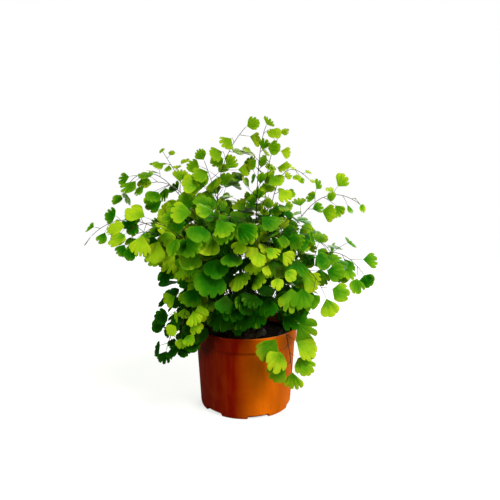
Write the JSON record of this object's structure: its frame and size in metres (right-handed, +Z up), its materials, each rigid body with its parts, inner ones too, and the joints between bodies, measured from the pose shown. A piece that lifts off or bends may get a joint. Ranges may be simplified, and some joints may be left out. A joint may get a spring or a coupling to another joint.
{
  "type": "potted maidenhair fern",
  "caption": "Maidenhair fern with wiry stems and fan-shaped leaflets growing from a rhizome in potting soil, in a round tapered plastic nursery pot with a collar and drainage slots.",
  "frame": {"origin": "centre of the pot's underside, on the surface it stands on", "axes": "+Z up along the pot's axis, -Y towards the side the plant leans to for light, +X to the right seen from there"},
  "size_m": [0.3491, 0.2343, 0.3494],
  "materials": {
    "pot": "moulded terracotta-coloured polypropylene with a soft sheen",
    "soil": "dark damp peat-based potting soil, crumbly",
    "rhizome": "dark scaly fern rhizome with old stem bases",
    "frond": "thin soft green leaflets on dark wiry stems"
  },
  "bodies": {
    "root": {"pot": "pot", "potting_soil": "soil", "rhizome": "rhizome", "frond_01": "frond", "frond_02": "frond", "frond_03": "frond", "frond_04": "frond", "frond_05": "frond", "frond_06": "frond", "frond_07": "frond", "frond_08": "frond", "frond_09": "frond", "frond_10": "frond", "frond_11": "frond", "frond_12": "frond", "frond_13": "frond", "frond_14": "frond", "frond_15": "frond", "frond_16": "frond", "frond_17": "frond", "frond_18": "frond", "frond_19": "frond", "frond_20": "frond", "frond_21": "frond", "frond_22": "frond", "frond_23": "frond", "frond_24": "frond", "frond_25": "frond", "frond_26": "frond", "frond_27": "frond", "frond_28": "frond", "frond_29": "frond", "frond_30": "frond", "frond_31": "frond", "frond_32": "frond", "frond_33": "frond", "frond_34": "frond", "frond_35": "frond", "frond_36": "frond", "frond_37": "frond", "frond_38": "frond", "frond_39": "frond", "frond_40": "frond", "frond_41": "frond", "frond_42": "frond", "frond_43": "frond", "frond_44": "frond", "frond_45": "frond", "frond_46": "frond", "frond_47": "frond", "frond_48": "frond", "frond_49": "frond", "frond_50": "frond", "frond_51": "frond", "frond_52": "frond", "frond_53": "frond", "frond_54": "frond", "frond_55": "frond", "frond_56": "frond", "frond_57": "frond"}
  },
  "joints": []
}
